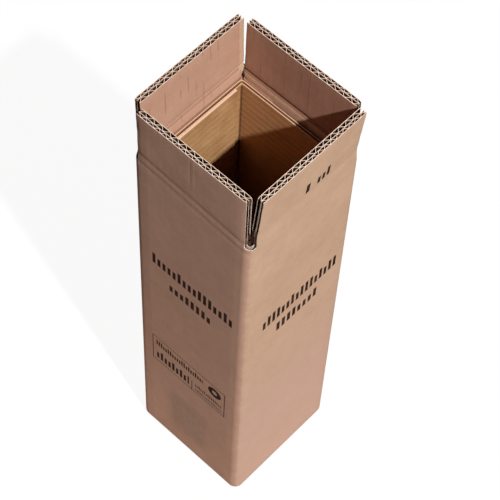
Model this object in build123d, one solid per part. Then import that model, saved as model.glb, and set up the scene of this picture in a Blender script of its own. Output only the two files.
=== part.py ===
from build123d import *
import math
import os

# Bottle shipping box: a tall square box of double-wall corrugated board with four open top flaps
# and a sleeve of single-wall board inside that holds one bottle.
# Millimetres, +Z up, origin at the middle of the underside.
# Front is -Y, right is +X, back is +Y and left is -X.

# Outer box
outer_width = 120.0        # outside, both ways
board = 6.5                # thickness of the double-wall board
front_crease = 431.5       # height of the front and back creases
flap_stack_gap = 0.4       # between a closed side flap and the closed front flap under it
fold_radius = 8.0          # outside radius of the upright folds
bottom_fold_radius = 4.0   # outside radius of the folds round the underside
bottom_seam = 2.5          # gap between two bottom flaps that meet
bottom_slot_rise = 2.0     # how far the slots of the bottom flaps reach up the folds
bottom_flap_gap = 0.6      # between a bottom flap and the walls beside it
bead_radius = 0.9          # grooves pressed beside each upright fold, inside

# Glued joint at the back left corner: a tab of the left wall lies pressed flat inside the back wall
tab_width = 30.0
tab_board = 2.4
tab_drop = 12.5            # from the back crease down to the tab
tab_rise = 8.0             # from the floor up to the tab
joint_slit = 0.4           # between the left wall's fold and the cut end of the back wall
joint_flute = 1.2          # depth of the open flutes in that cut end

# Corrugated section, from the outside in: liner, small flute, liner, large flute, liner
liner = 0.4
medium = 0.35              # thickness of the fluted paper
small_flute = 2.3          # height of the outer flute
small_pitch = 6.4
small_shift = 2.0          # places the cut edge of a flap in an open flute
large_flute = board - 3 * liner - small_flute
large_pitch = 7.9
large_shift = 1.85

# Top flaps
front_flap = 56.0          # from the crease to the cut edge of the front and back flaps
side_flap = 53.0
flap_side_gap = 0.12       # between a closed flap and the walls beside it
right_lean = 4.0           # degrees outward at which this flap stands
left_lean = 2.0

# Slots between the top flaps
slot_drop = 5.5            # from the front crease down to the slot's end
slot_radius = 4.0
slot_pocket = 3.0          # how deep the open flutes show in a slot's end
slot_groove = 1.8          # how deep they show in its sides

# Creases of the top flaps, where the board is pressed thin and hinges
hinge_depth = 1.6          # from the outer face to the line that the flap turns about
hinge_gap = 0.2            # from that line to the board, above and below
press_depth = 0.6          # pressed band on the outer face
press_half = 3.7           # half the height of the band at its bottom
press_shoulder = 1.1       # height of its sloping edge
outer_relief = 71.0        # degrees, lets a flap fold out
inner_relief = 45.0        # degrees, lets a flap fold in to level
crushed_height = 1.2       # the flutes are shut this far above the bevels of the crease

# Bottle sleeve
sleeve_board = 3.0
sleeve_drop = 10.5         # from the front crease down to the sleeve's cut edge
sleeve_gap = 0.3           # to the left and front walls, and to the glue tab on the back wall
sleeve_fold = 3.0          # outside radius of its folds
lap_board = 1.7            # the overlapping panel is pressed thinner for gluing
lap_gap = 0.3
lap_stop = 7.0             # from the free edge of that panel to the back wall of the sleeve
rim_groove = 2.5           # depth of the open flute along the sleeve's cut edges
sleeve_liner = 0.5

half = outer_width / 2
inside = half - board
flap_half = inside - flap_side_gap
side_crease = front_crease + board + flap_stack_gap
wall_top = side_crease + board
flute_layers = [(liner, liner + small_flute), (board - liner - large_flute, board - liner)]
slot_end = front_crease - slot_drop
floor_top = 2 * board
sleeve_width = 2 * inside - tab_board - 2 * sleeve_gap
sleeve_top = front_crease - sleeve_drop
tab_bottom = floor_top + tab_rise
tab_top = front_crease - tab_drop
joint_corner = (-1, 1)     # x and y of the glued corner, as signs
over = 2.0                 # how far cutting shapes reach past what they cut


def wall_frame(side):
    """Turns a shape built for the front wall to the named side."""
    turns = {"front": 0, "right": 90, "back": 180, "left": 270}
    return Rotation(0, 0, turns[side])


def crease_height(side):
    return front_crease if side in ("front", "back") else side_crease


def flap_length(side):
    return front_flap if side in ("front", "back") else side_flap


def bevel_run(depth, angle):
    """How far from the hinge line a bevel ends that is cut to this depth."""
    return hinge_gap + depth * math.tan(math.radians(angle))


def half_crease():
    """Section of the board's edge at a crease, as (depth from outer face, distance from hinge line)."""
    return [
        (0, press_half + press_shoulder),
        (press_depth, press_half),
        (press_depth, bevel_run(hinge_depth - press_depth, outer_relief)),
        (hinge_depth, hinge_gap),
        (board, bevel_run(board - hinge_depth, inner_relief)),
    ]


def front_section(points, half_length):
    """Bar along the front wall from a section of (depth, height) points."""
    outline = [(-half + depth, height) for depth, height in points]
    with BuildPart() as bar:
        with BuildSketch(Plane.YZ):
            with BuildLine():
                Polyline(outline, close=True)
            make_face()
        extrude(amount=half_length, both=True)
    return bar.part


def square(half_side, radius):
    with BuildSketch() as shape:
        Rectangle(2 * half_side, 2 * half_side)
        if radius > 0:
            fillet(shape.vertices(), radius)
    return shape.sketch


def layer_ring(near, far):
    """Outline between two depths of the board, all the way round the box."""
    outside = square(half - near, max(fold_radius - near, 0))
    return outside - square(half - far, max(fold_radius - far, 0))


def top_cutter(side):
    """What lies above a wall's creased edge."""
    below = [(depth, -height) for depth, height in half_crease()]
    height = wall_top - front_crease
    ends = [(board + over, below[-1][1]), (board + over, height), (-over, height)]
    section = [(-over, below[0][1])] + below + ends
    bar = front_section(section, flap_half)
    return wall_frame(side) * Pos(0, 0, crease_height(side)) * bar


def corner_places():
    return [(x, y) for x in (-1, 1) for y in (-1, 1)]


def slot_cutter(x, y):
    """Block cut out of a corner between two top flaps, with a rounded end."""
    reach = half + over - flap_half
    height = wall_top - slot_end
    with BuildPart() as block:
        Box(reach, reach, height, align=(Align.MIN, Align.MIN, Align.MIN))
        bottom = block.faces().sort_by(Axis.Z)[0]
        inner = [edge for edge in bottom.edges() if min(edge.center().X, edge.center().Y) < 1e-6]
        fillet(inner, slot_radius)
    corner = Pos(flap_half, flap_half, slot_end) * block.part
    turns = {(1, 1): 0, (-1, 1): 90, (-1, -1): 180, (1, -1): 270}
    return Rotation(0, 0, turns[(x, y)]) * corner


def slot_pockets():
    """The open flutes that show in the ends and sides of the slots."""
    start = flap_half - slot_groove
    reach = half + over - start
    depth = slot_pocket + wall_top - slot_end
    pockets = []
    for near, far in flute_layers:
        ring = extrude(Pos(0, 0, slot_end - slot_pocket) * layer_ring(near, far), depth)
        for x, y in corner_places():
            place = Pos(x * (start + reach / 2), y * (start + reach / 2), slot_end - slot_pocket + depth / 2)
            pockets.append(ring & (place * Box(reach, reach, depth)))
    return pockets


def corner_beads(x, y):
    """Two grooves beside an upright fold, which leave a bead between them. They stay above the glue tab."""
    start = tab_top if (x, y) == joint_corner else floor_top
    height = wall_top - start
    grooves = []
    for dx, dy in ((2 * bead_radius, 0), (0, 2 * bead_radius)):
        centre = Pos(x * (inside - dx), y * (inside - dy), start + height / 2)
        grooves.append(centre * Cylinder(bead_radius, height))
    return grooves


def glued_joint(body):
    """The back wall ends in a cut edge at the joint's corner, and the left wall's tab turns in behind it."""
    corner = (Align.MIN, Align.MIN, Align.MIN)
    height = wall_top - bottom_fold_radius
    end = Box(fold_radius, fold_radius, height, align=corner)
    body = body + Pos(-half, half - fold_radius, bottom_fold_radius) * end
    middle = inside - joint_slit - fold_radius
    with BuildSketch(Plane.XY.offset(-over)) as groove:
        with Locations((-half - over, middle)):
            Rectangle(over + fold_radius, fold_radius + joint_slit, align=(Align.MIN, Align.MIN))
        with Locations((-half + fold_radius, middle)):
            Circle(fold_radius, mode=Mode.SUBTRACT)
    body = body - extrude(groove.sketch, wall_top + 2 * over)
    for near, far in flute_layers:
        channel = Box(over + joint_flute, far - near, height, align=corner)
        body = body - Pos(-half - over, half - far, bottom_fold_radius + liner) * channel
    tab = Box(tab_width, tab_board, tab_top - tab_bottom, align=(Align.MIN, Align.MAX, Align.MIN))
    return body + Pos(-inside, inside, tab_bottom) * tab


def outer_box():
    walls = extrude(square(half, fold_radius), wall_top)
    bottom_edges = walls.faces().sort_by(Axis.Z)[0].edges()
    body = fillet(bottom_edges, bottom_fold_radius)
    cavity = extrude(Pos(0, 0, floor_top) * square(inside, 0), wall_top)
    body = body - cavity
    body = glued_joint(body)

    # Underside: the side flaps are outermost and meet at a seam, the front and back flaps lie on them
    seam = Box(bottom_seam, 2 * inside, board, align=(Align.CENTER, Align.CENTER, Align.MIN))
    upper_seam = Box(2 * inside, bottom_seam, board, align=(Align.CENTER, Align.CENTER, Align.MIN))
    body = body - seam - Pos(0, 0, board) * upper_seam
    for y in (-1, 1):
        slit = Box(2 * inside, bottom_flap_gap, board, align=(Align.CENTER, Align.CENTER, Align.MIN))
        body = body - Pos(0, y * (inside - bottom_flap_gap / 2), 0) * slit
    start = inside - bottom_flap_gap
    reach = half + over - start
    notch = Box(reach, reach, bottom_slot_rise + over, align=(Align.MIN, Align.MIN, Align.MIN))
    for angle in (0, 90, 180, 270):
        body = body - Rotation(0, 0, angle) * Pos(start, start, -over) * notch

    for side in ("front", "right", "back", "left"):
        body = body - top_cutter(side)
    for x, y in corner_places():
        body = body - slot_cutter(x, y)
        for groove in corner_beads(x, y):
            body = body - groove
    for pocket in slot_pockets():
        body = body - pocket
    return body


def flutes(width, height, pitch, shift, near):
    """Open channels of one fluted layer: the spaces under and over the waves of its paper."""
    base = 0.4 * pitch - medium
    shoulder = 0.2 * pitch
    crown = 0.06 * pitch
    rise = height - medium
    count = math.ceil(width / pitch) + 1
    with BuildSketch() as channels:
        for step in range(-count, count + 1):
            for offset, start, direction in ((0, near, 1), (0.5, near + height, -1)):
                middle = (step + offset) * pitch + shift
                if abs(middle) > width / 2 + base:
                    continue
                low = -half + start
                bend = low + direction * 0.7 * rise
                high = low + direction * rise
                with BuildLine():
                    Polyline(
                        (middle - base, low),
                        (middle + base, low),
                        (middle + shoulder, bend),
                        (middle + crown, high),
                        (middle - crown, high),
                        (middle - shoulder, bend),
                        close=True,
                    )
                make_face()
    return channels.sketch


def flap(side, lean):
    """Three liners with two fluted layers between them, open at the cut edges and crushed at the crease."""
    length = flap_length(side)
    width = 2 * flap_half
    crushed = bevel_run(board - hinge_depth, inner_relief) + crushed_height
    panel = Pos(0, -half + board / 2, length / 2) * Box(width, board, length)
    inner_layer = board - liner - large_flute
    small = flutes(width, small_flute, small_pitch, small_shift, liner)
    large = flutes(width, large_flute, large_pitch, large_shift, inner_layer)
    for layer in (small, large):
        panel = panel - extrude(Pos(0, 0, crushed) * layer, length - crushed + over)
    above = half_crease()
    ends = [(board + over, above[-1][1]), (board + over, -over), (-over, -over)]
    section = [(-over, above[0][1])] + above + ends
    panel = panel - front_section(section, half)
    # The flap turns about its hinge line, here to the angle at which it stands
    hinge = Pos(0, -half + hinge_depth, 0)
    leaned = hinge * Rotation(lean, 0, 0) * hinge.inverse() * panel
    return wall_frame(side) * Pos(0, 0, crease_height(side)) * leaned


def sleeve_outline(trim):
    """The folded sheet seen from above, with its faces moved in by trim. The trimmed one has no lap."""
    left = -inside + sleeve_gap
    right = left + sleeve_width
    front = -inside + sleeve_gap
    back = front + sleeve_width
    lap_left = left + sleeve_board + lap_gap
    lap_right = lap_left + lap_board
    lap_end = back - sleeve_board - lap_stop
    wall = sleeve_board - trim
    folds = [(left + trim, back - trim), (right - trim, back - trim), (right - trim, front + trim)]
    creases = [(right - wall, front + wall), (right - wall, back - wall), (left + wall, back - wall)]
    if trim > 0:
        lap = [(lap_right, front + trim), (lap_right, front + wall)]
    else:
        lap = [(lap_left, front), (lap_left, lap_end), (lap_right, lap_end), (lap_right, front + wall)]
    points = [(left + trim, front)] + folds + lap + creases + [(left + wall, front)]
    with BuildSketch() as sheet:
        with BuildLine():
            Polyline(points, close=True)
        make_face()
        for corner in folds:
            near = sheet.vertices().sort_by_distance((corner[0], corner[1], 0))[0]
            fillet(near, sleeve_fold - trim)
        for corner in creases:
            near = sheet.vertices().sort_by_distance((corner[0], corner[1], 0))[0]
            fillet(near, 0.6 + trim)
    return sheet.sketch


def bottle_sleeve():
    height = sleeve_top - floor_top
    body = extrude(Pos(0, 0, floor_top) * sleeve_outline(0), height)
    groove = sleeve_outline(sleeve_liner)
    body = body - extrude(Pos(0, 0, sleeve_top - rim_groove) * groove, rim_groove + over)
    body = body - extrude(Pos(0, 0, floor_top - over) * groove, rim_groove + over)
    return body


os.makedirs("parts", exist_ok=True)
export_step(outer_box(), "parts/outer_box.step")
export_step(bottle_sleeve(), "parts/bottle_sleeve.step")
leans = {"front": 0, "right": right_lean, "back": 0, "left": left_lean}
for side, lean in leans.items():
    export_step(flap(side, lean), f"parts/flap_{side}.step")
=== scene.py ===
import math

import bmesh
import bpy
from mathutils import Matrix, Vector, noise


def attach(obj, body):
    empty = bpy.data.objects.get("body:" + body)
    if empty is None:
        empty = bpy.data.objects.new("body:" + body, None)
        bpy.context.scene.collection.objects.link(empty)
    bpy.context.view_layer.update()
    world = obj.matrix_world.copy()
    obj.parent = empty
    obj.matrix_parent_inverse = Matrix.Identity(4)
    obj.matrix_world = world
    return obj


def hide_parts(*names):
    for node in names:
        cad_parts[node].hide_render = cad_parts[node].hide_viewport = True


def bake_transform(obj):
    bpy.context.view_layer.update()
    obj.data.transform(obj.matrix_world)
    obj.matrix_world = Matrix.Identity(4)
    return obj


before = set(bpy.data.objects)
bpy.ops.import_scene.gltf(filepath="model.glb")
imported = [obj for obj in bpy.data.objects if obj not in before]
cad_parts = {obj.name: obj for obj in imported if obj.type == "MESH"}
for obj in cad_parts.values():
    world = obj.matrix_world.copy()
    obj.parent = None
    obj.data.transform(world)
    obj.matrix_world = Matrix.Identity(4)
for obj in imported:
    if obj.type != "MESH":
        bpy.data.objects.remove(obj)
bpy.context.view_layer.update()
scene = bpy.context.scene

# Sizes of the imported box, in metres
mm = 0.001
half = 60 * mm               # from the middle to the outer face of a wall
board = 6.5 * mm             # thickness of the double-wall board
fold_radius = 8 * mm         # outside radius of the upright folds
flap_half = 53.38 * mm       # half the width of a top flap
hinge_depth = 1.6 * mm       # from a wall's outer face to the line that its flap turns about
front_crease = 431.5 * mm
side_crease = 438.4 * mm
front_flap = 56.0 * mm       # from the crease to the cut edge
side_flap = 53.0 * mm
right_lean = 4.0             # degrees outward
left_lean = 2.0
slot_end = front_crease - 5.5 * mm
sleeve_top = front_crease - 10.5 * mm
sleeve_width = 104 * mm
sleeve_board = 3 * mm
sleeve_pitch = 7.2 * mm      # of the flutes behind its paper
sleeve_corner = -53.2 * mm   # x and y of its left and front faces

# Layers of the board, from its outer face in
liner = 0.4 * mm
medium = 0.35 * mm           # the fluted sheets' paper
small_flute = 2.3 * mm
small_pitch = 6.4 * mm
small_shift = 2.0 * mm       # from the middle of a flap to the tip of a flute
large_flute = 3.0 * mm
large_pitch = 7.9 * mm
large_shift = 1.85 * mm

# The flaps' board
board_start = 6.2 * mm       # it begins this far above the hinge line
bow = 0.12 * mm              # its faces swell outward, in long waves, by up to twice this
rim_bow = 0.07 * mm          # and as much more in short waves along its rim
crush = 0.16                 # share of the thickness lost at a cut side
crush_width = 4.5 * mm
rim_crush = 0.05
rim_crush_width = 5 * mm
crush_from = -4.7 * mm       # rise where the crush sets in, and where it is full
crush_full = 5 * mm
liner_rag = 0.45 * mm        # how far the torn cut edges fall back
medium_rag = 0.7 * mm
flute_wander = 0.5 * mm      # sideways, of the flutes' tips
liner_columns, liner_rows = 96, 14
fluted_rows = 5
columns_per_flute = 14
hard_edge = 0.7              # radians between faces that don't shade smoothly

# Section of the board at a crease, in millimetres above the hinge line and deep from the outer face
outer_skin = [(rise, 0.02) for rise in (-9, -6, -4.5, -3, -2, -1, 0, 1, 2, 3, 4.5, 6, 9)]
inner_skin = [
    (9, 6.48), (4, 6.48), (2.2, 6.46), (1.5, 6.3), (1.0, 5.8), (0.7, 5.2), (0.3, 5.0), (-0.2, 5.1),
    (-0.9, 5.5), (-1.8, 5.9), (-3, 6.2), (-4.2, 6.4), (-5.3, 6.48), (-9, 6.48),
]
crease_top = 9 * mm
crease_overhang = 0.05 * mm  # past each side of the flap
crease_steps = 36
crease_sway = 0.35 * mm      # up and down, of its inner groove
crease_dent = 0.15 * mm      # the groove is deeper by up to twice this
bend_height = 5 * mm         # over which the crease bends

walls = {
    "front": {"turn": 0, "crease": front_crease, "length": front_flap, "lean": 0},
    "right": {"turn": 90, "crease": side_crease, "length": side_flap, "lean": right_lean},
    "back": {"turn": 180, "crease": front_crease, "length": front_flap, "lean": 0},
    "left": {"turn": 270, "crease": side_crease, "length": side_flap, "lean": left_lean},
}

# Print, in millimetres along and up its wall. Rows of bars: left, right, low, high, pitch, seed, strength
front_bars = (
    (-42, 46.5, 297, 311.5, 5.55, 3, 1),
    (-23.5, 23.7, 273, 285, 5.9, 31, 1),
    (-39.5, 16, 159, 167.5, 2.7, 57, 1),
    (-39.5, 0, 136, 149.5, 4.6, 83, 1),
    (7, 38.5, 142, 147.5, 2.1, 101, 0.85),
    (7, 38.5, 134.5, 139, 1.9, 131, 0.75),
)
right_bars = (
    (-40.5, 47, 283.5, 298.5, 5.47, 11, 1),
    (-23.5, 26.1, 260.5, 273.5, 6.2, 47, 1),
    (-5.2, 1.5, 444, 456.5, 6.7, 68, 1),
    (7.5, 22.5, 444, 456.5, 5.0, 72, 1),
)
frame_left, frame_right, frame_low, frame_high = -43.5, 42, 130.5, 172.5
frame_line = 0.9
divider, divider_top = 3.0, 148
disc_across, disc_rise = 30, 160.5
disc_radius, disc_hole = 7.55, 2.95
disc_soft = 0.15
print_soft = 0.12


# Materials

paper_sheen = 0.1            # specular level of dull paper


class Value:
    """A number that varies over a surface. Arithmetic on it adds Math nodes."""

    def __init__(self, graph, socket):
        self.graph = graph
        self.socket = socket

    def math(self, operation, *others):
        return self.graph.node("ShaderNodeMath", {"operation": operation}, self, *others)

    def __add__(self, other):
        return self.math("ADD", other)

    __radd__ = __add__

    def __mul__(self, other):
        return self.math("MULTIPLY", other)

    __rmul__ = __mul__

    def __sub__(self, other):
        return self.math("SUBTRACT", other)

    def __rsub__(self, other):
        return self.graph.node("ShaderNodeMath", {"operation": "SUBTRACT"}, other, self)

    def __truediv__(self, other):
        return self.math("DIVIDE", other)

    def __abs__(self):
        return self.math("ABSOLUTE")

    def __gt__(self, other):
        return self.math("GREATER_THAN", other)

    def __lt__(self, other):
        return self.math("LESS_THAN", other)

    def step(self, low, high):
        """0 below low and 1 above high, smoothly between; falls instead where high is the lower one."""
        settings = {"interpolation_type": "SMOOTHSTEP"}
        if low < high:
            return self.graph.node("ShaderNodeMapRange", settings, self, low, high, 0, 1)
        return self.graph.node("ShaderNodeMapRange", settings, self, high, low, 1, 0)

    def band(self, low, high, soft):
        """1 between low and high, with edges of that softness."""
        return self.step(low - soft, low + soft) * self.step(high + soft, high - soft)

    def hump(self, centre, width):
        """1 at the centre, falling off smoothly over that width."""
        offset = (self - centre) / width
        return (offset * offset * -1).math("EXPONENT")


class Graph:
    """The nodes of one material or world."""

    def __init__(self, owner):
        owner.use_nodes = True
        self.tree = owner.node_tree
        self.tree.nodes.clear()

    def node(self, kind, settings, *inputs, output=0, **named):
        """Adds a node, with its settings first and then its sockets, and returns one of its outputs."""
        made = self.tree.nodes.new(kind)
        for name, setting in settings.items():
            setattr(made, name, setting)
        for key, given in [*enumerate(inputs), *named.items()]:
            if given is None:
                continue
            socket = made.inputs[key.replace("_", " ") if isinstance(key, str) else key]
            if isinstance(given, Value):
                self.tree.links.new(given.socket, socket)
            else:
                socket.default_value = given
        return Value(self, made.outputs[output])

    def mix(self, factor, first, second, blend="MIX"):
        """Between two colours, each a Value or three numbers."""
        pair = [c if isinstance(c, Value) else (*c, 1) for c in (first, second)]
        settings = {"data_type": "RGBA", "blend_type": blend}
        return self.node("ShaderNodeMix", settings, factor, None, None, None, None, None, *pair, output=2)

    def stretch(self, place, x, y, z):
        """The place with its three parts multiplied, for a pattern of that many grains in a metre."""
        return self.node("ShaderNodeVectorMath", {"operation": "MULTIPLY"}, place, (x, y, z))

    def noise(self, place, scale, detail=2.0, rough=0.5, distortion=0.0):
        return self.node(
            "ShaderNodeTexNoise", {},
            Vector=place, Scale=scale, Detail=detail, Roughness=rough, Distortion=distortion,
        )

    def split(self, place):
        return [self.node("ShaderNodeSeparateXYZ", {}, place, output=axis) for axis in range(3)]

    def length(self, place):
        return self.node("ShaderNodeVectorMath", {"operation": "LENGTH"}, place, output=1)

    def flat_length(self, across, rise):
        """Distance of a point of a plane from the plane's origin."""
        return self.length(self.node("ShaderNodeCombineXYZ", {}, across, rise, 0))

    def finish(self, colour, roughness, height):
        """Ends the material in one shader, with heights in millimetres."""
        bump = self.node("ShaderNodeBump", {}, Strength=1.0, Distance=mm, Height=height)
        shader = self.node(
            "ShaderNodeBsdfPrincipled", {}, Base_Color=colour, Roughness=roughness, Normal=bump,
            Specular_IOR_Level=paper_sheen,
        )
        self.end(shader, "ShaderNodeOutputMaterial")

    def end(self, shader, kind):
        """Joins the shader to the output node of that kind."""
        output = self.tree.nodes.new(kind)
        self.tree.links.new(shader.socket, output.inputs["Surface"])


def srgb(red, green, blue):
    """Linear colour of an 8-bit screen colour."""
    channels = [c / 255 for c in (red, green, blue)]
    return tuple(c / 12.92 if c <= 0.04045 else ((c + 0.055) / 1.055) ** 2.4 for c in channels)


kraft_light = srgb(207, 174, 147)
kraft_dark = srgb(184, 150, 123)
kraft_fibre_and_shade = srgb(140, 102, 76)
kraft_rosy = srgb(205, 169, 157)
kraft_rubbed = srgb(222, 196, 172)
kraft_crushed = srgb(206, 184, 150)
painted_ledge_highlight = srgb(214, 176, 148)
painted_shade_brown = srgb(92, 48, 28)
soil_and_shade_brown = srgb(112, 90, 76)
cut_light = srgb(243, 224, 208)
cut_soiled = srgb(206, 176, 154)
cut_flutes_and_shade = srgb(88, 57, 40)
flute_light = srgb(148, 112, 86)
flute_dark = srgb(112, 78, 56)
flute_shade = srgb(46, 29, 20)
slot_shade = srgb(44, 22, 12)
ink = srgb(36, 9, 0)
sleeve_light = srgb(192, 151, 107)
sleeve_dark = srgb(146, 104, 65)
sleeve_back = srgb(178, 120, 78)
sleeve_bounce_light = srgb(214, 162, 116)
sleeve_flute = srgb(142, 100, 64)
sleeve_fold_shade = srgb(84, 50, 28)
sleeve_rim = srgb(214, 180, 154)

# Tints that the colours under them are multiplied by
inside_tint = (0.88, 0.77, 0.78)
front_shade_tint = (0.97, 0.89, 0.94)
back_shade_tint = (0.8, 0.72, 0.72)
scuff_tint = (0.68, 0.76, 0.8)
tab_shade_tint = (0.5, 0.42, 0.38)

floor_seen = (0.9, 0.9, 0.9)
floor_near = (0.55, 0.46, 0.41)
floor_far = (0.07, 0.06, 0.055)
world_fill = (0.86, 0.72, 0.8)


def waves(across, pitch, wander):
    """Height of paper over the tips of the flutes behind it, from -1 to 1."""
    return (across * (2 * math.pi / pitch) + wander).math("SINE")


def on_board(graph, place):
    """Where a point of the box is: on which wall, and how far across, up and into its board."""
    x, y, z = graph.split(place)
    front_or_back = abs(y) > abs(x)
    side_wall = 1 - front_or_back
    left_wall = side_wall * (x < 0)
    across = x * front_or_back + y * side_wall
    past_x, past_y = [(abs(v) - (half - fold_radius)).math("MAXIMUM", 0) for v in (x, y)]
    depth = fold_radius - graph.flat_length(past_x, past_y)
    inner = depth.step(0.4 * board, 0.6 * board) * z.step(board, 1.2 * board)
    rise = z - side_crease + (side_crease - front_crease) * front_or_back
    return {
        "x": x, "y": y, "z": z, "across": across, "rise": rise, "depth": depth,
        "from_fold": half - abs(across), "inner": inner, "outer": 1 - inner,
        "front_or_back": front_or_back, "front_wall": front_or_back * (y < 0),
        "back_wall": front_or_back * (y > 0), "side_wall": side_wall, "left_wall": left_wall,
        "right_wall": side_wall * (x > 0), "pressed": front_or_back + side_wall * 0.15 + left_wall * 0.35,
    }


def kraft(graph, place):
    """Pale brown kraft paper: its colour, roughness and height in millimetres, and where it is."""
    at = on_board(graph, place)
    inner, outer, rise = at["inner"], at["outer"], at["rise"]
    clouds = graph.noise(place, 26, 3, 0.55)
    blotches = graph.noise(place, 95, 2, 0.5, 0.4)
    fibres = graph.noise(graph.stretch(place, 420, 420, 1500), 1, 3, 0.65, 0.6)
    threads = graph.noise(graph.stretch(place, 190, 190, 1150), 1, 2, 0.5, 1.2)
    specks = graph.noise(place, 820, 1, 0.5).step(0.69, 0.76)
    lightness = 0.5 + (clouds - 0.5) * 0.8 + (blotches - 0.5) * 0.5 + (fibres - 0.5) * 0.8
    colour = graph.mix(lightness, kraft_dark, kraft_light)
    colour = graph.mix(threads.step(0.62, 0.75) * 0.22, colour, kraft_fibre_and_shade)
    colour = graph.mix(specks * 0.35, colour, kraft_fibre_and_shade)

    # Rosier low on the side walls, redder inside, and darkest inside on the back wall, where painted shade
    # deepens towards the right
    rosy = at["z"].step(330 * mm, 60 * mm) * outer * at["side_wall"]
    colour = graph.mix(rosy * 0.5, colour, kraft_rosy)
    colour = graph.mix(inner, colour, inside_tint, "MULTIPLY")
    # Painted shade: the front wall's outside is tinted redder and darker
    colour = graph.mix(outer * at["front_wall"], colour, front_shade_tint, "MULTIPLY")
    back_wall = inner * at["back_wall"]
    shaded = rise.step(-1 * mm, 1 * mm) + rise.step(-4 * mm, -13 * mm) * 0.6
    back_shade = back_wall * (0.65 + 0.6 * at["x"].step(-50 * mm, 20 * mm)) * shaded
    colour = graph.mix(back_shade, colour, back_shade_tint, "MULTIPLY")

    # The flutes print through: faint outside, and in short dark streaks inside
    wander = (blotches - 0.5) * 1.2
    large = waves(at["across"], large_pitch, wander)
    small = waves(at["across"], small_pitch, wander)
    lengths = graph.noise(graph.stretch(place, 70, 70, 38), 1, 2).step(0.5, 0.62)
    streaks = large.step(0.8, 1.0) * lengths * inner
    colour = graph.mix(streaks * 0.5, colour, kraft_fibre_and_shade)

    # Two grooves pressed along each crease outside, a little askew, with a painted shade line beside each
    askew = rise + at["across"] * 0.07
    pressed = outer * at["pressed"]
    grooves = askew.hump(3.1 * mm, 3.4 * mm) + askew.hump(-7 * mm, 3.7 * mm) * 0.8
    grooves = grooves * pressed * (0.5 + blotches)
    groove_shade_lines = askew.hump(5.9 * mm, 1.2 * mm) + askew.hump(-4.4 * mm, 1.3 * mm) * 0.6
    groove_shade_lines = groove_shade_lines * pressed * (blotches * 2 - 0.2)
    colour = graph.mix(groove_shade_lines * 0.4, colour, kraft_fibre_and_shade)

    # Inside, a painted shade line under each flap, a painted highlight on the ledge below it, and painted
    # shade over the sleeve's rim
    crease_shade = rise.hump(-2.2 * mm, 1.6 * mm) * inner * 0.5 + rise.hump(-1.6 * mm, 1.9 * mm) * back_wall
    sleeve_gap_shade = at["z"].hump(sleeve_top + 1.7 * mm, 1.6 * mm) * inner * (0.7 - 0.35 * back_wall)
    colour = graph.mix(crease_shade + sleeve_gap_shade, colour, painted_shade_brown)
    ledge = rise.step(-15 * mm, 1 * mm) * rise.step(1.5 * mm, 0.5 * mm) * inner
    below = rise.step(1 * mm, -0.5 * mm) * inner * (0.12 + 0.18 * back_wall)
    colour = graph.mix(below, colour, painted_ledge_highlight)

    # Outside, each wall rounds off towards the folds, where its paper is rubbed
    roll = at["from_fold"].step(3.5 * mm, 17 * mm) * outer
    rub = at["from_fold"].step(5 * mm, 1 * mm) * outer * (blotches + fibres - 1).step(-0.05, 0.2)
    colour = graph.mix(rub * 0.25, colour, kraft_rubbed)

    roughness = 0.78 + (fibres - 0.5) * 0.2
    height = (fibres - 0.5) * 0.05 + (clouds - 0.5) * 0.25 + roll * 0.5
    height = height + inner * large * 0.02 + outer * small * 0.008
    height = height - grooves * 0.24 - ledge * 1.3 - streaks * 0.03
    return colour, roughness, height, at


def cut_board(graph, place, depth):
    """Colour of board that is cut through: pale edges of liners with darker fluted paper between them,
    darkened further by painted shade in its open flutes.
    """
    tufts = graph.noise(place, 900, 2, 0.6)
    edges = depth.hump(liner / 2, liner) + depth.hump(liner + small_flute + liner / 2, liner)
    edges = edges + depth.hump(board - liner / 2, liner)
    return graph.mix(edges + (tufts - 0.5) * 0.7, cut_flutes_and_shade, cut_light)


def box(across, rise, left, right, low, high):
    """1 inside a rectangle of a face, in millimetres."""
    soft = print_soft * mm
    return across.band(left * mm, right * mm, soft) * rise.band(low * mm, high * mm, soft)


def bars(graph, across, rise, rows):
    """Rows of plain upright bars of two heights."""
    printed = 0
    for left, right, low, high, pitch, seed, strength in rows:
        cell = (across - left * mm) / (pitch * mm)
        number = cell.math("FLOOR") + (seed + 0.5)
        chance = graph.node("ShaderNodeTexWhiteNoise", {"noise_dimensions": "1D"}, W=number)
        bar = abs(cell.math("FRACT") - 0.5).step(0.32, 0.28)
        top = high * mm - (chance > 0.5) * (0.27 * (high - low) * mm)
        printed = printed + bar * (rise < top) * box(across, rise, left, right, low, high) * strength
    return printed


def plain_marks(graph, at, place):
    """Printed rows of plain bars, a plain frame and a plain disc."""
    across, z = at["across"], at["z"]
    front = bars(graph, across, z, front_bars)
    right = bars(graph, across, z, right_bars)
    for inset, sign in ((0, 1), (frame_line, -1)):
        edges = (frame_left + inset, frame_right - inset, frame_low + inset, frame_high - inset)
        front = front + box(across, z, *edges) * sign
    front = front + box(across, z, divider, divider + frame_line, frame_low, divider_top)
    from_disc = graph.flat_length(across - disc_across * mm, z - disc_rise * mm)
    for radius, sign in ((disc_radius, 1), (disc_hole, -1)):
        front = front + from_disc.step((radius + disc_soft) * mm, (radius - disc_soft) * mm) * sign
    worn = graph.noise(place, 700, 3, 0.6).step(0.2, 0.5)
    faded = graph.noise(graph.stretch(place, 60, 60, 90), 1, 2).step(0.25, 0.6)
    printed = (at["front_wall"] * front + at["right_wall"] * right) * (at["depth"] < 3 * liner)
    return printed * (0.9 + 0.1 * worn) * (0.94 + 0.06 * faded)


def object_place(graph):
    return graph.node("ShaderNodeTexCoord", {}, output=3)


def rest_place(graph):
    """Where a point was before its piece bent."""
    return graph.node("ShaderNodeAttribute", {"attribute_name": "rest_place"}, output=1)


def paper_material(name, build):
    material = bpy.data.materials.new(name)
    build(Graph(material))
    return material


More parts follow.
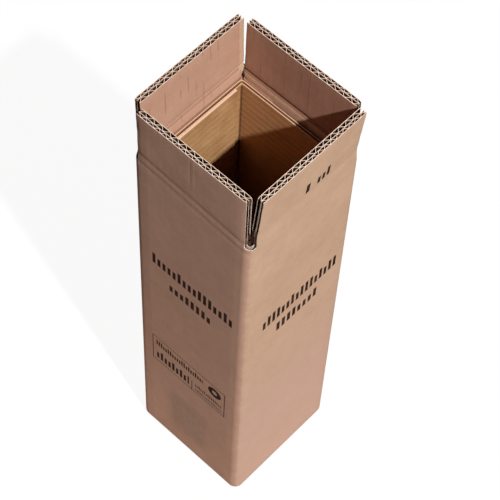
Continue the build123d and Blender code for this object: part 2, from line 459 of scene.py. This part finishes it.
def wall_paper(graph):
    """The box's own paper, with print, a scuffed patch, cut slots and soil, and painted shade in the slots,
    on the glue tab and along the bottom.
    """
    place = object_place(graph)
    colour, roughness, height, at = kraft(graph, place)
    colour = graph.mix(plain_marks(graph, at, place), colour, ink)

    # A scuffed patch low on the front
    front = at["front_wall"] * at["outer"]
    patch = at["across"].band(-24 * mm, 21 * mm, 7 * mm) * at["z"].band(28 * mm, 95 * mm, 9 * mm) * front
    scrapes = graph.noise(graph.stretch(place, 150, 150, 260), 1, 4, 0.7, 0.8)
    scuff = patch * (0.65 + 0.65 * scrapes.step(0.4, 0.62))
    colour = graph.mix(scuff * 0.6, colour, scuff_tint, "MULTIPLY")
    height = height - scuff * 0.12

    # Cut board in the slots between the flaps, with painted shade towards the inside and at the slot's end
    depth = at["depth"]
    beside = [abs(at[v]).step(flap_half - 2.2 * mm, flap_half - 2.0 * mm) for v in ("x", "y")]
    in_slot = at["z"].step(slot_end - 3.4 * mm, slot_end - 3.1 * mm) * beside[0] * beside[1]
    cut = in_slot * depth.band(0.1 * mm, board - 0.1 * mm, 0.05 * mm)
    colour = graph.mix(cut, colour, cut_board(graph, place, depth))
    at_end = at["z"].step(slot_end + 3 * mm, slot_end) * depth.band(1.2 * mm, 2.9 * mm, 0.4 * mm)
    shade = depth.step(0.43 * board, 0.65 * board) * 0.85 + at_end * 0.55
    colour = graph.mix(in_slot * shade, colour, slot_shade)

    # Painted shade darkens the top of the glue tab, behind the sleeve
    tab_top_shade = (depth > board + 0.1 * mm) * (at["z"] > sleeve_top - 3 * mm)
    colour = graph.mix(tab_top_shade, colour, tab_shade_tint, "MULTIPLY")

    # Soiled along the bottom, with a painted shade line along its lowest edge
    soil_and_shade = at["z"].step(9 * mm, 0) * graph.noise(place, 160, 3, 0.6) + at["z"].step(2.2 * mm, 0.6 * mm)
    colour = graph.mix(soil_and_shade * 0.5, colour, soil_and_shade_brown)
    graph.finish(colour, roughness, height)


def flap_paper(graph):
    """The flaps' paper, with print, dents, a crushed end, and cut ends at the creases darkened by painted
    shade.
    """
    place = rest_place(graph)
    colour, roughness, height, at = kraft(graph, place)
    colour = graph.mix(plain_marks(graph, at, place), colour, ink)

    # Two dents in the front flap
    front = at["front_wall"] * at["outer"]
    tall = at["rise"].band(20 * mm, 60 * mm, 8 * mm) * front
    dents = at["across"].hump(-0.5 * mm, 0.8 * mm) * 0.09 - at["across"].hump(2.6 * mm, 1.0 * mm) * 0.06
    height = height - tall * dents

    # The crushed end of the left flap
    left = at["left_wall"] * at["inner"]
    edge = at["across"] + (graph.noise(place, 240, 2) - 0.5) * (2 * mm)
    margin = edge.step(47.6 * mm, 49 * mm) * left
    colour = graph.mix(margin * 0.4, colour, kraft_crushed)
    height = height - edge.hump(48.4 * mm, 0.6 * mm) * left * 0.12

    # The cut ends of the creases, with painted shade deeper in, and painted shade on their tops under the
    # open flutes
    depth = at["depth"]
    ends = abs(at["across"]).step(flap_half + 0.02 * mm, flap_half + 0.04 * mm)
    colour = graph.mix(ends, colour, cut_board(graph, place, depth))
    colour = graph.mix(ends * depth.step(1 * mm, 3 * mm) * 0.55, colour, slot_shade)
    top = at["rise"].band(crease_top - 0.25 * mm, crease_top + 0.25 * mm, 0.1 * mm)
    shade_under_flutes = top * depth.band(0.6 * mm, board - 0.6 * mm, 0.1 * mm)
    colour = graph.mix(shade_under_flutes, colour, slot_shade)
    graph.finish(colour, roughness, height)


def cut_paper(graph):
    """The pale torn fibres of a cut edge."""
    place = object_place(graph)
    tufts = graph.noise(place, 900, 3, 0.7)
    soil_and_shade = graph.noise(place, 120, 2, 0.5)
    colour = graph.mix((tufts - 0.5) * 1.6 + soil_and_shade, cut_soiled, cut_light)
    graph.finish(colour, 0.9, (tufts - 0.5) * 0.25)


def flute_paper(graph):
    """The paper inside the board: darker than the liners, partly as painted shade in the open flutes, and
    with more painted shade the deeper it lies under the cut edge.
    """
    place = rest_place(graph)
    at = on_board(graph, place)
    rim = side_flap + (front_flap - side_flap) * at["front_or_back"]
    below = rim - at["rise"]
    fibres = graph.noise(graph.stretch(place, 500, 500, 1400), 1, 3, 0.65)
    colour = graph.mix(fibres, flute_dark, flute_light)
    colour = graph.mix(below.step(0.2 * mm, 2.6 * mm), colour, flute_shade)
    graph.finish(colour, 0.9, (fibres - 0.5) * 0.06)


def sleeve_paper(graph):
    """Ochre paper over single-wall board that lies with its flutes level."""
    place = object_place(graph)
    x, y, z = graph.split(place)
    clouds = graph.noise(place, 30, 3, 0.55)
    blotches = graph.noise(graph.stretch(place, 60, 60, 130), 1, 3, 0.6, 0.5)
    fibres = graph.noise(graph.stretch(place, 420, 420, 1300), 1, 3, 0.65, 0.6)
    wander = (graph.noise(graph.stretch(place, 22, 22, 50), 1, 2) - 0.5) * 2.5
    swells = waves(z, sleeve_pitch, wander)

    # The back wall is redder, with clearer stripes, and lighter at its rim; painted bounce light brightens
    # its left end
    on_back = y > sleeve_corner + sleeve_width - sleeve_board - 0.1 * mm
    striped = swells * (0.07 + 0.2 * on_back * z.band(362 * mm, 399 * mm, 8 * mm))
    lightness = 0.5 + (clouds - 0.5) * 1.1 + (blotches - 0.5) * 0.9 + (fibres - 0.5) * 0.8 + striped
    lightness = lightness + on_back * z.step(388 * mm, 408 * mm) * 0.25
    colour = graph.mix(lightness, sleeve_dark, sleeve_light)
    colour = graph.mix(on_back * 0.5, colour, sleeve_back)
    colour = graph.mix(on_back * x.step(-5 * mm, -45 * mm) * 0.3, colour, sleeve_bounce_light)

    # The open flute along the rim, painted shade in the inner folds, and the pale cut edge
    under = sleeve_top - z
    middle = sleeve_width / 2
    past_middle = [abs(v - (sleeve_corner + middle)) - (middle - sleeve_board / 2) for v in (x, y)]
    farther = past_middle[0].math("MAXIMUM", past_middle[1])
    nearer = past_middle[0].math("MINIMUM", past_middle[1])
    groove = under.step(0.15 * mm, 0.3 * mm) * under.step(2.8 * mm, 2.6 * mm)
    groove = groove * abs(farther).step(1.3 * mm, 1.1 * mm)
    colour = graph.mix(groove, colour, sleeve_flute)
    fold = nearer.step(-3.1 * mm, -2.0 * mm) * (farther < 0) * (under > 3 * mm)
    colour = graph.mix(fold * 0.8, colour, sleeve_fold_shade)
    colour = graph.mix(under.step(0.6 * mm, 0.2 * mm), colour, sleeve_rim)
    roughness = 0.8 + (fibres - 0.5) * 0.2
    height = (fibres - 0.5) * 0.05 + (blotches - 0.5) * 0.1 + swells * 0.04
    graph.finish(colour, roughness, height)


wall_material = paper_material("kraft_walls", wall_paper)
flap_material = paper_material("kraft_flaps", flap_paper)
cut_material = paper_material("cut_edges", cut_paper)
flute_material = paper_material("fluted_paper", flute_paper)
sleeve_material = paper_material("sleeve_board", sleeve_paper)

# Order of the flap board's materials
skin_index, cut_index, flute_index = 0, 1, 2


# Pieces

def ripple(across, rise, scale, seed):
    """Slow unevenness of a sheet, from -1 to 1."""
    return noise.noise(Vector((across / scale, rise / scale, seed)))


def ease(number):
    """0 below 0 and 1 above 1, smoothly between."""
    share = min(1, max(0, number))
    return share * share * (3 - 2 * share)


def hinge_point():
    """The hinge line's middle on the front wall, with its height left at 0."""
    return Vector((0, -half + hinge_depth, 0))


def stand(wall, point, share=1.0):
    """Moves a point, built upright on the front wall, to the wall's flap, leaned by that share."""
    hinge = hinge_point()
    lean = Matrix.Rotation(math.radians(wall["lean"]) * share, 3, "X")
    turn = Matrix.Rotation(math.radians(wall["turn"]), 3, "Z")
    return turn @ (lean @ (point - hinge) + hinge + Vector((0, 0, wall["crease"])))


def lay_down(wall, across, depth, rise):
    """Where a point of a flap's board comes to lie in its own plane, uneven and crushed at its cut sides."""
    from_rim = wall["length"] - rise
    seed = 3 * wall["turn"] / 90
    over_crease = ease((rise - crush_from) / (crush_full - crush_from))
    cut_side = max(0, 1 - (flap_half - abs(across)) / crush_width)
    rim = max(0, 1 - from_rim / rim_crush_width)
    squash = crush * cut_side ** 2 * (1 + 0.6 * ripple(across, rise, 7 * mm, seed)) + rim_crush * rim
    depth = board / 2 + (depth - board / 2) * (1 - over_crease * squash)
    depth -= bow * (1 + ripple(across, rise, 24 * mm, seed + 1)) * ease((rise - 5 * mm) / (14 * mm))
    depth -= rim_bow * (1 + ripple(across, 0, 5 * mm, seed + 2)) * ease(1 - from_rim / (12 * mm))
    return Vector((across, -half + depth, rise))


def keep_rest_place(bm, wall):
    """Stores each point's place on the upright box, for the paper's pattern."""
    layer = bm.verts.layers.float_vector.new("rest_place")
    turn = Matrix.Rotation(math.radians(wall["turn"]), 3, "Z")
    for vertex in bm.verts:
        vertex[layer] = turn @ (vertex.co + Vector((0, 0, wall["crease"])))


def paper_sheet(bm, columns, rows, lay, thickness, front, back):
    """A sheet of paper behind the surface that lay gives for two numbers from 0 to 1."""
    outer = bmesh.ops.create_grid(bm, x_segments=columns, y_segments=rows, size=0.5)["verts"]
    for point in outer:
        point.co = lay(point.co.x + 0.5, point.co.y + 0.5)
    faces = list({f for point in outer for f in point.link_faces})
    bmesh.ops.recalc_face_normals(bm, faces=faces)
    if sum(f.normal.y for f in faces) > 0:
        bmesh.ops.reverse_faces(bm, faces=faces)
    behind = bmesh.ops.solidify(bm, geom=faces, thickness=thickness)["geom"]
    outer = set(outer)
    sheet = set(faces)
    for vertex in behind:
        if isinstance(vertex, bmesh.types.BMVert):
            sheet.update(vertex.link_faces)
    for f in sheet:
        in_front = sum(v in outer for v in f.verts)
        f.material_index = {len(f.verts): front, 0: back}.get(in_front, cut_index)
        if max(v.co.z for v in f.verts) < board_start + 0.1 * mm:
            f.material_index = flute_index
        f.smooth = True


def to_object(bm, name, *materials):
    """Ends the mesh as an object of the scene, with its sharper edges kept hard."""
    for edge in bm.edges:
        edge.smooth = edge.calc_face_angle(0) < hard_edge
    mesh = bpy.data.meshes.new(name)
    bm.to_mesh(mesh)
    bm.free()
    for material in materials:
        mesh.materials.append(material)
    piece = bpy.data.objects.new(name, mesh)
    scene.collection.objects.link(piece)
    return piece


def flap_board(side, wall):
    """Three liners with two fluted sheets between them."""
    seed = 3 * wall["turn"] / 90
    bm = bmesh.new()

    def lay_at(depth_at, ragged, reach):
        def lay(u, v):
            across = (2 * u - 1) * reach
            rise = board_start + v * (wall["length"] - board_start)
            point = lay_down(wall, across, depth_at(across), rise)
            if v > 0.999:
                tear = ripple(across, 0, 2.2 * mm, seed + depth_at(0) / mm)
                point.z -= ragged * (0.5 + 0.5 * tear)
            return point
        return lay

    liners = (
        (0, skin_index, flute_index),
        (liner + small_flute, flute_index, flute_index),
        (board - liner, flute_index, skin_index),
    )
    for near, front, back in liners:
        lay = lay_at(lambda across: near, liner_rag, flap_half)
        paper_sheet(bm, liner_columns, liner_rows, lay, liner, front, back)
    fluted = (
        (liner, small_flute, small_pitch, small_shift),
        (board - liner - large_flute, large_flute, large_pitch, large_shift),
    )
    for near, height, pitch, shift in fluted:
        def wave(across):
            wander = flute_wander * ripple(across, 0, 20 * mm, seed + 5)
            swing = math.cos(2 * math.pi * (across - shift + wander) / pitch)
            return near + (height - medium) * (0.5 - 0.5 * swing)
        columns = round(2 * flap_half / pitch * columns_per_flute)
        lay = lay_at(wave, medium_rag, flap_half - medium)
        paper_sheet(bm, columns, fluted_rows, lay, medium, flute_index, flute_index)
    keep_rest_place(bm, wall)
    for vertex in bm.verts:
        vertex.co = stand(wall, vertex.co)
    piece = to_object(bm, f"{side}_flap_board", flap_material, cut_material, flute_material)
    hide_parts(f"flap_{side}")
    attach(piece, f"{side}_flap")


def crease(side, wall):
    """The pressed board that joins a flap to its wall, bent from the wall over to the leaned flap."""
    seed = 20 + wall["turn"] / 90
    half_width = flap_half + crease_overhang
    bm = bmesh.new()
    section = [(rise * mm, depth * mm) for rise, depth in outer_skin + inner_skin]
    end = bm.faces.new([bm.verts.new((-half_width, depth, rise)) for rise, depth in section])
    for step in range(crease_steps):
        moved = bmesh.ops.extrude_face_region(bm, geom=[end])["geom"]
        forward = [v for v in moved if isinstance(v, bmesh.types.BMVert)]
        bmesh.ops.translate(bm, verts=forward, vec=(2 * half_width / crease_steps, 0, 0))
        if step > 0:
            bmesh.ops.delete(bm, geom=[end], context="FACES_ONLY")
        end = next(f for f in moved if isinstance(f, bmesh.types.BMFace))
    bmesh.ops.recalc_face_normals(bm, faces=bm.faces)
    for f in bm.faces:
        f.smooth = True
    for vertex in bm.verts:
        across, depth, rise = vertex.co
        shallow = max(0, 1 - abs(rise) / (4 * mm)) * ease(depth / board * 2 - 1)
        sway = crease_sway * ripple(across, 0, 16 * mm, seed) * shallow
        dent = crease_dent * (1 + ripple(across, rise, 9 * mm, seed + 4)) * shallow
        vertex.co = lay_down(wall, across, depth - dent, rise + sway)
    keep_rest_place(bm, wall)
    for vertex in bm.verts:
        vertex.co = stand(wall, vertex.co, ease(vertex.co.z / bend_height + 0.5))
    piece = to_object(bm, f"{side}_crease", flap_material)
    hinge = hinge_point()
    hinge.z = wall["crease"]
    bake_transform(piece)


for side, wall in walls.items():
    flap_board(side, wall)
    crease(side, wall)

for node, material in (("outer_box", wall_material), ("bottle_sleeve", sleeve_material)):
    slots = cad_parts[node].data.materials
    slots.clear()
    slots.append(material)


# Camera at the photograph's viewing angle, fitted to the box's corners

camera_data = bpy.data.cameras.new("camera")
camera_data.sensor_width = 36
camera_data.lens = 128.92
camera_data.clip_start = 0.05
camera_data.clip_end = 100
camera = bpy.data.objects.new("camera", camera_data)
right = Vector((0.72844, 0.68435, 0.03223))
up = Vector((-0.60045, 0.61506, 0.51104))
forward = Vector((-0.32991, 0.39162, -0.85895))
turn = Matrix((right, up, -forward)).transposed()
place = Vector((0.4786, -0.55782, 1.52385))
camera.matrix_world = Matrix.Translation(place) @ turn.to_4x4()
scene.collection.objects.link(camera)
scene.camera = camera


# Studio

lamp_aim = Vector((0, 0, 0.25))
lamp_distance = 3.0


def lamp(name, toward, size, energy, colour):
    """A round lamp on that side of the box, turned to its middle."""
    data = bpy.data.lights.new(name, "AREA")
    data.shape = "DISK"
    data.size = size
    data.energy = energy
    data.color = colour
    made = bpy.data.objects.new(name, data)
    toward = Vector(toward).normalized()
    made.location = lamp_aim + toward * lamp_distance
    made.rotation_euler = toward.to_track_quat("Z", "Y").to_euler()
    scene.collection.objects.link(made)


lamp("key", (0.567, -0.164, 0.81), size=0.08, energy=120, colour=(1, 1, 1))
lamp("back_fill", (-0.66, 0.71, 0.26), size=1.8, energy=60, colour=(1.0, 0.95, 0.9))

# The camera sees a white world, and a weak rosy one lights the box
world = bpy.data.worlds.new("studio")
scene.world = world
graph = Graph(world)
camera_sees = graph.node("ShaderNodeLightPath", {}, output=0)
white = graph.node("ShaderNodeBackground", {}, (1, 1, 1, 1), 1.0)
fill = graph.node("ShaderNodeBackground", {}, (*world_fill, 1), 0.085)
graph.end(graph.node("ShaderNodeMixShader", {}, camera_sees, fill, white), "ShaderNodeOutputWorld")

# The floor looks near white, with the box's shadow, and throws back warmer light close to the box
bm = bmesh.new()
bmesh.ops.create_grid(bm, x_segments=1, y_segments=1, size=4)
floor_material = bpy.data.materials.new("floor")
floor = to_object(bm, "floor", floor_material)
graph = Graph(floor_material)
camera_sees = graph.node("ShaderNodeLightPath", {}, output=0)
from_box = graph.length(object_place(graph))
paint = graph.mix(from_box.step(0.3, 0.8), floor_near, floor_far)
paint = graph.mix(camera_sees, paint, floor_seen)
matt = graph.node("ShaderNodeBsdfDiffuse", {}, paint)
white = graph.node("ShaderNodeEmission", {}, (1, 1, 1, 1), 1.0)
mixed = graph.node("ShaderNodeMixShader", {}, camera_sees * 0.92, matt, white)
graph.end(mixed, "ShaderNodeOutputMaterial")

scene.view_settings.view_transform = "Standard"
